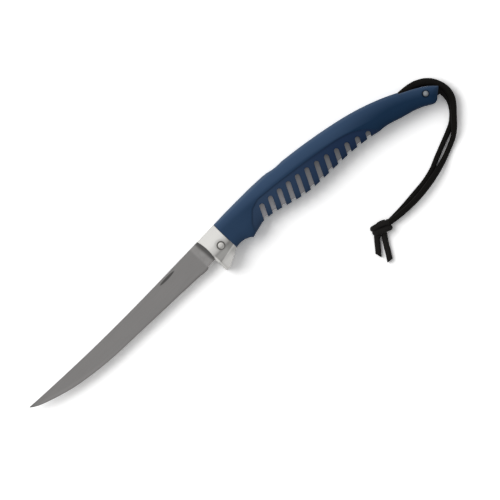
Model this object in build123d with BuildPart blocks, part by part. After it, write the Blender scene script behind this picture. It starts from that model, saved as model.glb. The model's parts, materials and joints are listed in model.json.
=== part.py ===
# Folding fillet knife with a lockback handle and a cord lanyard, lying open on its side.
# Sizes are in millimetres. +X runs from the blade's tip to the butt, +Y is the spine side,
# and +Z points up from the table. Outlines are laid out from the blade's pivot.
import os
from math import cos, pi, radians, sin, tan

from build123d import *

os.makedirs("parts", exist_ok=True)

# Layers, counted outwards from the middle plane of the blade
blade_thickness = 2.0
washer_thickness = 0.25
side_play = 0.05
liner_thickness = 1.2
scale_thickness = 7.0
bolster_thickness = 5.75
gap_half = blade_thickness / 2 + side_play + washer_thickness
liner_outer = gap_half + liner_thickness
scale_outer = liner_outer + scale_thickness
bolster_outer = liner_outer + bolster_thickness
middle = scale_outer

# Blade
blade_reach = 176.0
blade_top = 13.9
blade_width = 19.1
blade_tip_rise = 4.9
ricasso_reach = 17.5
ricasso_depth = 3.8
ricasso_end = 16.8
tang_back = 1.0
tang_radius = 8.5
edge_bevel = 1.1
nick_length = 15.3
nick_width = 1.7
nick_depth = 0.5
nick_reach = 43.0
nick_below_spine = 2.4
nick_tilt = 20.0
closing_angle = 177.0

# Pivot and fits
pivot_pin_radius = 2.0
bushing_wall = 1.0
washer_radius = 6.0
run_clearance = 0.03
fit_clearance = 0.02
pivot_head_radius = 2.5
pivot_head_rise = 0.95
pivot_recess_radius = 3.2
pivot_recess_depth = 0.8

# Lock
lock_notch_width = 4.2
lock_notch_depth = 1.3
lock_tooth_width = 2.6
lock_clearance = 0.35
lock_notch_angle = 70.0
lock_bar_front = 1.6
lock_bar_end = 71.5
lock_bar_depth = 8.3
lock_relief = 1.5
lock_pin_x = 35.0
lock_pin_y = 9.5
frame_pin_radius = 1.6
frame_pin_seat = 2.0

# Handle outline
handle_reach = 187.2
handle_fall = 53.4
crown_rise = 4.0
grip_step = 0.7
liner_inset = 1.6
scale_gap = 0.3

# Grip slots
slot_count = 12
slot_width = 3.6
slot_lean = 27.0
slot_length = 22.0

# Bolster and guard
bolster_front = 10.0
bolster_back = 6.8
bolster_low = 8.8
guard_depth = 15.2
guard_tip_reach = 6.1
front_hollow = 1.2
bolster_chamfer = 0.3
guard_corner = 0.8
slope_start = 0.9
slope_blend = 5.0
slope_angle = 20.0
slope_back_low = 5.6
slope_front_low = 8.7
guard_rim = 1.7
rivet_radius = 0.9
rivet_seat = 2.5

# Back of the frame
spring_leaf = 1.5
spring_front = 61.0
spring_block_front = 79.0
spring_block_end = 92.0
spring_gap = 0.3
blade_room = 1.6
spacer_inset = 0.8
overrun = 20.0
fuse_overlap = 2.0

# Lanyard and its pin
cord_diameter = 4.0
pocket_half = 5.7
pocket_wall = 1.2
pocket_lead = 1.3
lanyard_pin_radius = 1.5
lanyard_head_radius = 2.0
lanyard_head_rise = 0.6
lanyard_recess_radius = 3.0
lanyard_recess_depth = 0.9
window_length = 12.0
window_lead = 2.4
window_depth = 5.6
window_shift = 0.4
butt_window = 5.2
knot_length = 16.0
knot_width = 11.2
knot_height = 8.0
knot_angle = -32.0
knot_from_pin_x = -89.2
knot_from_pin_y = -42.9

# The origin lies on the table, under the middle of the knife without its cord
pivot_x = (blade_reach - handle_reach) / 2
pivot_y = (handle_fall - blade_tip_rise) / 2 - blade_top
bushing_radius = pivot_pin_radius + bushing_wall


def level(height):
    """The plane at a height above the table, with the pivot at its origin."""
    return Plane(origin=(pivot_x, pivot_y, height))


def layer(out):
    """The plane at a distance out from the blade's middle plane, on the upper side."""
    return level(middle + out)


def placed(shares, length, top, fall):
    """Points from shares of a length along X and of a fall below a top along Y."""
    return [(along * length, top - down * fall) for along, down in shares]


# Handle outline, as shares of the reach to the butt and of the fall from the spine line
spine_front_shares = ((0.163, 0.002), (0.285, 0.0225), (0.315, 0.031))
thumb_notch_shares = ((0.347, 0.059), (0.384, 0.067))
spine_rear_shares = ((0.464, 0.108), (0.582, 0.187), (0.700, 0.292), (0.815, 0.444), (0.872, 0.543))
cord_step_shares = ((0.875, 0.571), (0.920, 0.655), (0.963, 0.752), (1.0, 0.878))
butt_shares = ((0.963, 0.981), (0.951, 1.0), (0.937, 0.991))
belly_rear_shares = ((0.919, 0.951), (0.878, 0.880), (0.815, 0.811), (0.771, 0.757), (0.7276, 0.732))
belly_grip_shares = ((0.688, 0.699), (0.552, 0.639), (0.418, 0.618), (0.330, 0.569), (0.246, 0.481))
bump_shares = ((0.172, 0.442), (0.1085, 0.4945))
groove_shares = ((0.0745, 0.4285), (0.0517, 0.4205))
outline_shares = (
    spine_front_shares, thumb_notch_shares, spine_rear_shares, cord_step_shares, butt_shares,
    belly_rear_shares, belly_grip_shares, bump_shares, groove_shares,
)
# The highest line of each side's crown, from the bolster to the middle of the butt
ridge_shares = (
    (0.107, 0.245), (0.246, 0.247), (0.331, 0.305), (0.417, 0.350), (0.550, 0.401),
    (0.689, 0.491), (0.769, 0.566), (0.817, 0.627), (0.876, 0.719), (0.919, 0.803),
)
crown_share = 0.8
liner_end_share = 0.8013
lanyard_pin_shares = ((0.945, 0.826),)
liner_end = liner_end_share * handle_reach


def handle_points(shares):
    """Handle outline points from their shares."""
    return placed(shares, handle_reach, blade_top, handle_fall)


def height_at(points, x):
    """Height at a place along X of a line through points, level beyond its two ends."""
    for (x_before, y_before, *_), (x_after, y_after, *_) in zip(points, points[1:]):
        if x <= x_after:
            part_way = max(0, x - x_before) / (x_after - x_before)
            return y_before + part_way * (y_after - y_before)
    return y_after


def pulled_in(points, share):
    """Points moved towards the ridge line by a share of their distance from it."""
    ridge = handle_points(ridge_shares)
    moved = []
    for x, y, *_ in points:
        ridge_x = min(x, ridge[-1][0])
        moved.append((x + share * (ridge_x - x), y + share * (height_at(ridge, ridge_x) - y)))
    return moved


def drawn_in(points, inset):
    """Points of a clockwise outline, each moved in along the bisector of its two sides."""
    moved = []
    for before, here, after in zip(points, points[1:], points[2:]):
        behind = (Vector(*here) - Vector(*before)).normalized()
        ahead = (Vector(*after) - Vector(*here)).normalized()
        inward = (behind + ahead).normalized().rotate(Axis.Z, -90)
        side = ahead.rotate(Axis.Z, -90)
        moved.append(Vector(*here) + inward * (inset / inward.dot(side)))
    return moved


def handle_face(inset=0, share=0):
    """Side outline of the handle behind the bolsters, drawn in by an inset or towards the ridge."""
    start, finish = (bolster_back, blade_top), (bolster_back, -bolster_low)
    groups = [handle_points(shares) for shares in outline_shares]
    outline = [start, *(point for group in groups for point in group), finish]
    moved = iter(pulled_in(drawn_in(outline, inset), share))
    start, finish = pulled_in([(bolster_back, blade_top - inset), (bolster_back, inset - bolster_low)], share)
    spine_front, notch, spine_rear, step, butt, belly_rear, belly_grip, bump, groove = (
        [next(moved) for _ in group] for group in groups
    )
    with BuildSketch() as face:
        with BuildLine():
            Spline(start, *spine_front)
            ThreePointArc(spine_front[-1], *notch)
            Spline(notch[-1], *spine_rear)
            Line(spine_rear[-1], step[0])
            Spline(*step)
            Line(step[-1], butt[0])
            ThreePointArc(*butt)
            Spline(butt[-1], *belly_rear)
            Spline(belly_rear[-1], *belly_grip, bump[0])
            Line(bump[0], bump[1])
            Spline(bump[1], *groove, finish)
            Line(finish, start)
        make_face()
    return face.sketch


handle_outline = handle_face()

# Where the soft grip takes over from the hard scale
seam_shares = (
    (0.218, 0.183), (0.290, 0.213), (0.389, 0.265), (0.466, 0.309),
    (0.530, 0.352), (0.597, 0.403), (0.657, 0.490),
)
grip_front_shares = ((0.1175, 0.53), (0.140, 0.352), (0.178, 0.225))
grip_rear_share = 0.7276
with BuildSketch() as grip_region:
    with BuildLine():
        seam_points = handle_points(seam_shares)
        front_points = handle_points(grip_front_shares)
        front_edge = Polyline(*front_points, seam_points[0])
        seam_line = Spline(*seam_points, handle_points(((grip_rear_share, 0.74),))[0])
        low_y = blade_top - handle_fall - overrun
        Polyline(seam_line @ 1, ((seam_line @ 1).X, low_y), (front_points[0][0], low_y), front_points[0])
    make_face()

# The slots between the ribs of the grip, from their round tops down past the belly
slot_curve_share = 0.70
slot_first_share = 0.2185
slot_span_share = 0.4733
slot_fall_share = 0.3502
slot_start_share = 0.2603
with BuildSketch() as slot_cuts:
    for number in range(slot_count):
        part_way = number / (slot_count - 1)
        fall_share = (1 - slot_curve_share) * part_way + slot_curve_share * part_way**2
        top = Vector((slot_first_share + part_way * slot_span_share) * handle_reach,
                     blade_top - (slot_start_share + fall_share * slot_fall_share) * handle_fall)
        down = Vector(-sin(radians(slot_lean)), -cos(radians(slot_lean)))
        with Locations(top + down * (slot_length / 2)):
            SlotOverall(slot_length, slot_width, rotation=90 - slot_lean)

# Blade stations: share of the ground length, rise of the spine, and width from spine to edge
station_shares = (
    (0.0, 0.0, 0.969), (0.014, 0.0, 0.995), (0.054, 0.0, 0.961), (0.092, 0.0, 0.938),
    (0.168, 0.0, 0.900), (0.260, 0.0, 0.862), (0.439, 0.071, 0.798), (0.619, 0.244, 0.745),
    (0.707, 0.377, 0.678), (0.795, 0.541, 0.580), (0.882, 0.719, 0.412), (0.926, 0.820, 0.306),
    (0.968, 0.925, 0.182), (1.0, 1.0, 0.016),
)
folded_front_share = 0.05


def closed_edge_point(station):
    """A point just clear of the cutting edge when the blade is folded in."""
    along, rise, width = station
    reach = ricasso_reach + along * (blade_reach - ricasso_reach)
    edge_y = blade_top + rise * blade_tip_rise - width * blade_width
    return Vector(-reach, edge_y - blade_room).rotate(Axis.Z, closing_angle)


closed_edge = [closed_edge_point(station) for station in station_shares if station[0] > folded_front_share]


def room_middle(x):
    """The point midway between the spine and the folded blade, at a place along X."""
    spine_y = height_at(handle_points(thumb_notch_shares + spine_rear_shares), x) - spacer_inset
    return (x, (spine_y + height_at(closed_edge, x)) / 2)


# Places of the pins that hold the frame together
spring_pin_at = room_middle((spring_block_front + spring_block_end) / 2)
spacer_pin_shares = (0.545, 0.735)
spacer_pins_at = [room_middle(share * handle_reach) for share in spacer_pin_shares]
lock_pin_at = (lock_pin_x, lock_pin_y)
frame_pins_at = [lock_pin_at, spring_pin_at, *spacer_pins_at]
lanyard_pin_at = handle_points(lanyard_pin_shares)[0]
rivet_shares = ((-0.55, 0.70), (0.52, 0.62), (-0.50, -0.50))
rivets_at = [(x * bolster_front, y * blade_top) for x, y in rivet_shares]

# Blade: a ground body lofted through sections, on a flat ricasso and tang
taper_share = 0.55
bevel_share = 0.34
bevel_limit_share = 0.3


def blade_section(station):
    """One cross section of the ground blade: spine, flat grind and edge bevel."""
    along, rise, width = station
    reach = ricasso_reach + along * (blade_reach - ricasso_reach)
    half = blade_thickness / 2 * (1 - taper_share * along)
    spine_y = blade_top + rise * blade_tip_rise
    edge_y = spine_y - width * blade_width
    bevel_y = edge_y + min(edge_bevel, bevel_limit_share * width * blade_width)
    across = Plane(origin=(pivot_x - reach, pivot_y, middle), x_dir=(0, 1, 0), z_dir=(1, 0, 0))
    with BuildSketch(across) as section:
        with BuildLine():
            Polyline(
                (spine_y, half), (bevel_y, half * bevel_share), (edge_y, 0),
                (bevel_y, -half * bevel_share), (spine_y, -half), close=True,
            )
        make_face()
    return section.sketch


with BuildSketch() as lock_notch:
    for turn in (0, -closing_angle):
        angle = lock_notch_angle + turn
        radius = tang_radius - lock_notch_depth + tang_radius / 2
        with Locations(Vector(radius * cos(radians(angle)), radius * sin(radians(angle)))):
            Rectangle(tang_radius, lock_notch_width, rotation=angle)

heel_y = blade_top - station_shares[0][2] * blade_width
with BuildPart() as blade:
    with BuildSketch(layer(-blade_thickness / 2)):
        Circle(tang_radius)
        with BuildLine():
            Polyline(
                (-ricasso_reach, blade_top), (tang_back, blade_top), (tang_back, 0),
                (0, -ricasso_depth), (-ricasso_end, -ricasso_depth), (-ricasso_reach, heel_y),
                close=True,
            )
        make_face()
        add(lock_notch.sketch, mode=Mode.SUBTRACT)
        Circle(bushing_radius + run_clearance, mode=Mode.SUBTRACT)
    extrude(amount=blade_thickness)
    loft([blade_section(station).face() for station in station_shares])
    # Nail nick on the upper face, cut by the rim of a tilted disc
    nick_radius = (nick_length**2 / 4 + nick_depth**2) / (2 * nick_depth)
    nick_plane = Plane(
        origin=(pivot_x - nick_reach, pivot_y + blade_top - nick_below_spine,
                middle + blade_thickness / 2 + nick_radius - nick_depth),
        x_dir=(1, 0, 0),
        z_dir=(0, cos(radians(nick_tilt)), -sin(radians(nick_tilt))),
    )
    with BuildSketch(nick_plane) as nick_disc:
        Circle(nick_radius)
    extrude(nick_disc.sketch, amount=nick_width / 2, both=True, mode=Mode.SUBTRACT)
blade.part.label = "blade"
export_step(blade.part, "parts/blade.step")

# Pivot: bushing, washers and a pin with a domed head at each side
with BuildPart() as pivot_bushing:
    with BuildSketch(layer(-gap_half)):
        Circle(bushing_radius)
        Circle(pivot_pin_radius + fit_clearance, mode=Mode.SUBTRACT)
    extrude(amount=2 * gap_half)
pivot_bushing.part.label = "pivot_bushing"
export_step(pivot_bushing.part, "parts/pivot_bushing.step")

with BuildPart() as pivot_washer_near:
    with BuildSketch(layer(gap_half)):
        Circle(washer_radius)
        Circle(bushing_radius + fit_clearance, mode=Mode.SUBTRACT)
    extrude(amount=-washer_thickness)
pivot_washer_near.part.label = "pivot_washer_near"
export_step(pivot_washer_near.part, "parts/pivot_washer_near.step")

with BuildPart() as pivot_washer_far:
    mirror(pivot_washer_near.part, about=level(middle))
pivot_washer_far.part.label = "pivot_washer_far"
export_step(pivot_washer_far.part, "parts/pivot_washer_far.step")


def headed_pin(at, shaft_radius, head_radius, head_base, head_rise):
    """A rivet through both sides, with a domed head of a given rise on each face."""
    dome_radius = (head_radius**2 + head_rise**2) / (2 * head_rise)
    chord_mid = head_radius / 2
    dome_mid = head_base + head_rise - (dome_radius - (dome_radius**2 - chord_mid**2) ** 0.5)
    axis_plane = Plane(
        origin=(pivot_x + at[0], pivot_y + at[1], middle), x_dir=(1, 0, 0), z_dir=(0, -1, 0)
    )
    with BuildPart() as pin:
        with BuildSketch(axis_plane):
            with BuildLine():
                Polyline((0, 0), (shaft_radius, 0), (shaft_radius, head_base), (head_radius, head_base))
                ThreePointArc((head_radius, head_base), (chord_mid, dome_mid), (0, head_base + head_rise))
                Line((0, head_base + head_rise), (0, 0))
            make_face()
        revolve(axis=Axis((pivot_x + at[0], pivot_y + at[1], middle), (0, 0, 1)))
        mirror(about=level(middle))
    return pin.part


with BuildPart() as pivot_pin:
    add(headed_pin((0, 0), pivot_pin_radius, pivot_head_radius,
                   bolster_outer - pivot_recess_depth, pivot_head_rise))
pivot_pin.part.label = "pivot_pin"
export_step(pivot_pin.part, "parts/pivot_pin.step")

with BuildPart() as lanyard_pin:
    add(headed_pin(lanyard_pin_at, lanyard_pin_radius, lanyard_head_radius,
                   scale_outer - lanyard_recess_depth, lanyard_head_rise))
lanyard_pin.part.label = "lanyard_pin"
export_step(lanyard_pin.part, "parts/lanyard_pin.step")

# Liners: one steel plate each side, from the bolster to the lanyard pocket
with BuildSketch() as liner_outline:
    add(handle_face(liner_inset))
    with Locations((bolster_back + fuse_overlap, (blade_top - bolster_low) / 2)):
        Rectangle(bolster_front + bolster_back + fuse_overlap - liner_inset,
                  blade_top + bolster_low - 2 * liner_inset, align=(Align.MAX, Align.CENTER))
    with Locations((liner_end + handle_reach / 2, blade_top - handle_fall / 2)):
        Rectangle(handle_reach, 2 * handle_fall, mode=Mode.SUBTRACT)
    Circle(pivot_pin_radius + fit_clearance, mode=Mode.SUBTRACT)
    with Locations(*frame_pins_at):
        Circle(frame_pin_radius + fit_clearance, mode=Mode.SUBTRACT)
    with Locations(*rivets_at):
        Circle(rivet_radius + fit_clearance, mode=Mode.SUBTRACT)

with BuildPart() as liner_near:
    with BuildSketch(layer(gap_half)):
        add(liner_outline.sketch)
    extrude(amount=liner_thickness)
liner_near.part.label = "liner_near"
export_step(liner_near.part, "parts/liner_near.step")

with BuildPart() as liner_far:
    mirror(liner_near.part, about=level(middle))
liner_far.part.label = "liner_far"
export_step(liner_far.part, "parts/liner_far.step")

# The bolster's face slopes down, below the pivot, to a thinner guard, behind a rim at its front
slope = radians(slope_angle)
blend_end = (-slope_start - slope_blend * sin(slope), bolster_outer - slope_blend * (1 - cos(slope)))
blend_mid = (-slope_start - slope_blend * sin(slope / 2),
             bolster_outer - slope_blend * (1 - cos(slope / 2)))
slope_foot = (blend_end[0] - guard_depth * cos(slope), blend_end[1] - guard_depth * sin(slope))
slope_corners = [
    Vector(along, -low, blend_end[1] - (low + blend_end[0]) * tan(slope))
    for along, low in ((bolster_back, slope_back_low), (-bolster_front, slope_front_low))
]
with BuildPart() as face_cut:
    with BuildSketch(Plane(origin=(pivot_x + guard_rim - bolster_front, pivot_y, middle),
                           x_dir=(0, 1, 0), z_dir=(1, 0, 0))):
        with BuildLine():
            ThreePointArc((-slope_start, bolster_outer), blend_mid, blend_end)
            Polyline(blend_end, slope_foot, (slope_foot[0], bolster_outer + guard_depth),
                     (-slope_start, bolster_outer + guard_depth), (-slope_start, bolster_outer))
        make_face()
    extrude(amount=2 * guard_depth)
    split(bisect_by=Plane(origin=Vector(pivot_x, pivot_y, middle) + slope_corners[0], x_dir=(0, 1, 0),
                          z_dir=(slope_corners[0] - slope_corners[1]).cross(Vector(0, 1, 0))),
          keep=Keep.TOP)

# Bolsters, with the guard, a hollowed front and the recess for the pin's head
with BuildPart() as bolster_near:
    with BuildSketch(layer(liner_outer)):
        with BuildLine():
            Polyline(
                (-bolster_front, -bolster_low / 2), (-bolster_front, -guard_depth + guard_corner),
                (-bolster_front + guard_corner, -guard_depth), (-guard_tip_reach, -guard_depth),
                (bolster_back, -bolster_low), (bolster_back, blade_top), (-bolster_front, blade_top),
            )
            ThreePointArc(
                (-bolster_front, blade_top), (-bolster_front + front_hollow, blade_top / 3),
                (-bolster_front, -bolster_low / 2),
            )
        make_face()
    extrude(amount=bolster_thickness)
    chamfer(bolster_near.edges().filter_by(Plane.XY).group_by(Axis.Z)[-1], bolster_chamfer)
    add(face_cut.part, mode=Mode.SUBTRACT)
    with BuildSketch(layer(bolster_outer - pivot_recess_depth)) as head_recess:
        Circle(pivot_recess_radius)
    extrude(head_recess.sketch, amount=bolster_thickness, mode=Mode.SUBTRACT)
    with BuildSketch(layer(liner_outer)) as bolster_bores:
        Circle(pivot_pin_radius + fit_clearance)
    extrude(bolster_bores.sketch, amount=bolster_thickness, mode=Mode.SUBTRACT)
    with BuildSketch(layer(liner_outer)) as rivet_bores:
        with Locations(*rivets_at):
            Circle(rivet_radius + fit_clearance)
    extrude(rivet_bores.sketch, amount=rivet_seat, mode=Mode.SUBTRACT)
bolster_near.part.label = "bolster_near"
export_step(bolster_near.part, "parts/bolster_near.step")

with BuildPart() as bolster_far:
    mirror(bolster_near.part, about=level(middle))
bolster_far.part.label = "bolster_far"
export_step(bolster_far.part, "parts/bolster_far.step")

with BuildPart() as bolster_rivets:
    with BuildSketch(layer(gap_half)):
        with Locations(*rivets_at):
            Circle(rivet_radius)
    extrude(amount=liner_thickness + rivet_seat)
    mirror(about=level(middle))
bolster_rivets.part.label = "bolster_rivets"
export_step(bolster_rivets.part, "parts/bolster_rivets.step")

# The butt is hollow for the lanyard, with a window on the spine side and one at the butt face
step_foot = handle_points(cord_step_shares)[0]
butt_corners = (handle_points(cord_step_shares)[-1], handle_points(butt_shares)[0])
butt_middle = (butt_corners[0][1] + butt_corners[1][1]) / 2
with BuildSketch() as pocket_outline:
    add(handle_face(pocket_wall))
    with Locations((step_foot[0] - window_lead, step_foot[1])):
        Rectangle(window_length + window_lead, window_depth, align=(Align.MIN, Align.MAX))
    with Locations((handle_reach, butt_middle + window_shift)):
        Rectangle(2 * window_length, butt_window)
    with Locations((liner_end + pocket_lead - handle_reach, 0)):
        Rectangle(2 * handle_reach, 4 * handle_fall, mode=Mode.SUBTRACT)

with BuildSketch() as butt_outline:
    add(handle_outline)
    with Locations((liner_end + scale_gap - handle_reach, 0)):
        Rectangle(2 * handle_reach, 4 * handle_fall, mode=Mode.SUBTRACT)


def crowned_side(thickness):
    """The handle's side outline at a thickness, its outer face crowned up to the ridge line."""
    with BuildPart() as body:
        with BuildSketch(layer(liner_outer)):
            add(handle_outline)
        extrude(amount=thickness - crown_rise)
        sections = []
        for turn in (0, 25, 50, 70, 90):
            rise = crown_rise * sin(radians(turn))
            drawn_share = crown_share * (1 - cos(radians(turn)))
            with BuildSketch(layer(liner_outer + thickness - crown_rise + rise)) as section:
                add(handle_face(share=drawn_share))
            sections.append(section.sketch.face())
        loft(sections)
    return body.part


# Hard scales, and the soft ribbed grips let into them
with BuildPart() as scale_near:
    add(crowned_side(scale_thickness))
    with BuildSketch(layer(liner_outer)) as grip_seat:
        add(grip_region.sketch)
    extrude(grip_seat.sketch, amount=overrun, mode=Mode.SUBTRACT)
    with BuildSketch(layer(gap_half)) as butt_inner:
        add(butt_outline.sketch)
    extrude(butt_inner.sketch, amount=liner_thickness)
    with BuildSketch(layer(gap_half)) as pocket_room:
        add(pocket_outline.sketch)
    extrude(pocket_room.sketch, amount=pocket_half - gap_half, mode=Mode.SUBTRACT)
    with BuildSketch(layer(gap_half)) as lanyard_bore:
        with Locations(lanyard_pin_at):
            Circle(lanyard_pin_radius + fit_clearance)
    extrude(lanyard_bore.sketch, amount=scale_outer, mode=Mode.SUBTRACT)
    with BuildSketch(layer(scale_outer - lanyard_recess_depth)) as lanyard_recess:
        with Locations(lanyard_pin_at):
            Circle(lanyard_recess_radius)
    extrude(lanyard_recess.sketch, amount=scale_thickness, mode=Mode.SUBTRACT)
    with BuildSketch(layer(liner_outer)) as pin_seats:
        with Locations(*frame_pins_at):
            Circle(frame_pin_radius + fit_clearance)
    extrude(pin_seats.sketch, amount=frame_pin_seat, mode=Mode.SUBTRACT)
scale_near.part.label = "scale_near"
export_step(scale_near.part, "parts/scale_near.step")

with BuildPart() as scale_far:
    mirror(scale_near.part, about=level(middle))
scale_far.part.label = "scale_far"
export_step(scale_far.part, "parts/scale_far.step")

with BuildPart() as grip_near:
    add(crowned_side(scale_thickness - grip_step))
    with BuildSketch(layer(liner_outer)) as grip_keep:
        add(grip_region.sketch)
        add(slot_cuts.sketch, mode=Mode.SUBTRACT)
    extrude(grip_keep.sketch, amount=scale_thickness, mode=Mode.INTERSECT)
grip_near.part.label = "grip_near"
export_step(grip_near.part, "parts/grip_near.step")

with BuildPart() as grip_far:
    mirror(grip_near.part, about=level(middle))
grip_far.part.label = "grip_far"
export_step(grip_far.part, "parts/grip_far.step")

# Lock bar, shown released: its tooth hangs just clear of the tang
bar_top_shares = ((0.578, 0.036), (0.778, 0.145), (0.829, 0.265), (0.90, 0.446), (1.0, 0.59))
bar_low = blade_top - lock_bar_depth
bar_length = lock_bar_end - lock_bar_front
bar_top = [(lock_bar_front + s * bar_length, blade_top - d * lock_bar_depth) for s, d in bar_top_shares]
tooth_base = tang_radius + lock_clearance
tooth_length = lock_relief * 2
tooth_middle = tooth_base + tooth_length / 2
lock_angle = radians(lock_notch_angle)
with BuildPart() as lock_bar:
    with BuildSketch(layer(-blade_thickness / 2)):
        with BuildLine():
            Polyline((lock_bar_front, bar_low), (lock_bar_front, blade_top), *bar_top,
                     (lock_bar_end, bar_low), close=True)
        make_face()
        Circle(tang_radius + lock_relief, mode=Mode.SUBTRACT)
        with Locations(Vector(tooth_middle * cos(lock_angle), tooth_middle * sin(lock_angle))):
            Rectangle(tooth_length, lock_tooth_width, rotation=lock_notch_angle)
        with Locations(lock_pin_at):
            Circle(frame_pin_radius + run_clearance, mode=Mode.SUBTRACT)
    extrude(amount=blade_thickness)
lock_bar.part.label = "lock_bar"
export_step(lock_bar.part, "parts/lock_bar.step")


def frame_pin_group(places):
    """Plain pins through both liners, seated in blind holes of the scales."""
    with BuildPart() as pins:
        with BuildSketch(layer(-liner_outer - frame_pin_seat)):
            with Locations(*places):
                Circle(frame_pin_radius)
        extrude(amount=2 * (liner_outer + frame_pin_seat))
    return pins.part


with BuildPart() as lock_bar_pin:
    add(frame_pin_group([lock_pin_at]))
lock_bar_pin.part.label = "lock_bar_pin"
export_step(lock_bar_pin.part, "parts/lock_bar_pin.step")

with BuildPart() as spring_pin:
    add(frame_pin_group([spring_pin_at]))
spring_pin.part.label = "spring_pin"
export_step(spring_pin.part, "parts/spring_pin.step")

with BuildPart() as spacer_pins:
    add(frame_pin_group(spacer_pins_at))
spacer_pins.part.label = "spacer_pins"
export_step(spacer_pins.part, "parts/spacer_pins.step")

# Room in the back of the frame, between the spine and the folded blade
with BuildSketch() as back_room:
    add(handle_face(spacer_inset))
    with BuildLine():
        folded = Spline(*closed_edge)
        Polyline(folded @ 1, ((folded @ 1).X, 2 * blade_top), ((folded @ 0).X, 2 * blade_top), folded @ 0)
    make_face(mode=Mode.INTERSECT)

# Back spring: a leaf that bears on the bar's tail, with a pinned block behind it
leaf_top = bar_low - spring_gap
with BuildPart() as back_spring:
    with BuildSketch(layer(-blade_thickness / 2)):
        with Locations((spring_block_front, 0)):
            Rectangle(spring_block_end - spring_block_front, 4 * handle_fall, align=(Align.MIN, Align.CENTER))
        add(back_room.sketch, mode=Mode.INTERSECT)
        with Locations((spring_front, leaf_top)):
            Rectangle(spring_block_front + fuse_overlap - spring_front, spring_leaf,
                      align=(Align.MIN, Align.MAX))
        with Locations(spring_pin_at):
            Circle(frame_pin_radius + fit_clearance, mode=Mode.SUBTRACT)
    extrude(amount=blade_thickness)
back_spring.part.label = "back_spring"
export_step(back_spring.part, "parts/back_spring.step")

# Spacer that keeps the liners apart behind the spring
with BuildPart() as back_spacer:
    with BuildSketch(layer(-gap_half)):
        with Locations((spring_block_end + scale_gap, 0)):
            Rectangle(liner_end - scale_gap - spring_block_end, 4 * handle_fall,
                      align=(Align.MIN, Align.CENTER))
        add(back_room.sketch, mode=Mode.INTERSECT)
        with Locations(*spacer_pins_at):
            Circle(frame_pin_radius + fit_clearance, mode=Mode.SUBTRACT)
    extrude(amount=2 * gap_half)
back_spacer.part.label = "back_spacer"
export_step(back_spacer.part, "parts/back_spacer.step")

# Lanyard: one cord, looped round the pin in the hollow butt, with both legs led to a knot.
# Its places are counted from the lanyard pin, with heights from the table.
bight_points = (
    (-7.3, 11.2, 6.2), (-13.7, 11.3, 6.2), (-19.1, 11.9, 6.2), (-21.7, 7.3, 6.2),
    (-19.0, 2.7, 6.2), (-13.6, 2.3, 6.2), (-7.4, -1.0, 6.2), (-2.0, -4.3, 6.2),
    (2.7, -5.0, 6.2),
)
outer_leg_points = (
    (-7.3, 11.2, 6.2), (-2.5, 11.125, 6.2), (2.7, 9.1, 6.4), (7.6, 5.5, 6.7),
    (11.2, 0.7, 6.8), (12.8, -5.0, 6.8), (12.3, -10.8, 6.7), (10.2, -16.2, 6.5),
    (6.3, -21.1, 6.4), (0.5, -25.2, 6.1), (-6.5, -28.4, 4.7), (-14.6, -31.7, 2.7),
    (-22.9, -34.6, 2.1), (-32.3, -37.7, 2.1), (-42.7, -40.2, 2.1), (-53.5, -41.8, 2.1),
    (-64.9, -42.5, 2.1), (-75.4, -42.0, 2.3), (-84.4, -41.2, 3.4),
)
inner_leg_points = (
    (2.7, -5.0, 6.2), (7.4, -5.7, 6.2), (9.2, -9.4, 4.4), (8.3, -14.1, 2.6),
    (5.7, -20.1, 2.1), (2.0, -25.9, 2.1), (-2.6, -30.7, 2.1), (-8.9, -35.0, 2.1),
    (-16.7, -38.5, 2.1), (-25.8, -41.3, 2.1), (-35.8, -43.8, 2.1), (-46.6, -45.8, 2.1),
    (-58.3, -46.7, 2.1), (-69.5, -46.8, 2.1), (-77.9, -46.4, 2.6), (-84.7, -45.6, 3.4),
)
short_tail_points = ((-93.9, -43.1, 3.0), (-98.5, -48.0, 2.1), (-103.0, -53.2, 2.05), (-105.7, -55.6, 2.05))
long_tail_points = ((-90.0, -46.5, 3.0), (-94.9, -52.4, 2.1), (-99.0, -59.4, 2.05), (-102.2, -63.9, 2.05))
arc_share = 0.45
lanyard_x = pivot_x + lanyard_pin_at[0]
lanyard_y = pivot_y + lanyard_pin_at[1]


def cord_tube(name, points):
    """A round cord along straight runs joined by the largest arcs that the runs allow."""
    places = [Vector(lanyard_x + x, lanyard_y + y, z) for x, y, z in points]
    radii = []
    for before, here, after in zip(places, places[1:], places[2:]):
        turn = radians((here - before).get_angle(after - here))
        shorter = min((here - before).length, (after - here).length)
        radii.append(arc_share * shorter / tan(turn / 2))
    with BuildPart() as tube:
        with BuildLine():
            route = FilletPolyline(*places, radius=radii)
        with BuildSketch(Plane(origin=route @ 0, z_dir=route % 0)):
            Circle(cord_diameter / 2)
        sweep(path=route)
    section = pi * cord_diameter**2 / 4
    print(name, "length", round(route.length, 1), "volume share",
          round(tube.part.volume / (section * route.length), 4),
          "radii", [round(radius, 1) for radius in radii])
    return tube.part


with BuildPart() as lanyard_bight:
    add(cord_tube("lanyard_bight", bight_points))
lanyard_bight.part.label = "lanyard_bight"
export_step(lanyard_bight.part, "parts/lanyard_bight.step")

with BuildPart() as lanyard_leg_outer:
    add(cord_tube("lanyard_leg_outer", outer_leg_points))
lanyard_leg_outer.part.label = "lanyard_leg_outer"
export_step(lanyard_leg_outer.part, "parts/lanyard_leg_outer.step")

with BuildPart() as lanyard_leg_inner:
    add(cord_tube("lanyard_leg_inner", inner_leg_points))
lanyard_leg_inner.part.label = "lanyard_leg_inner"
export_step(lanyard_leg_inner.part, "parts/lanyard_leg_inner.step")

with BuildPart() as lanyard_tail_short:
    add(cord_tube("lanyard_tail_short", short_tail_points))
lanyard_tail_short.part.label = "lanyard_tail_short"
export_step(lanyard_tail_short.part, "parts/lanyard_tail_short.step")

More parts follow.
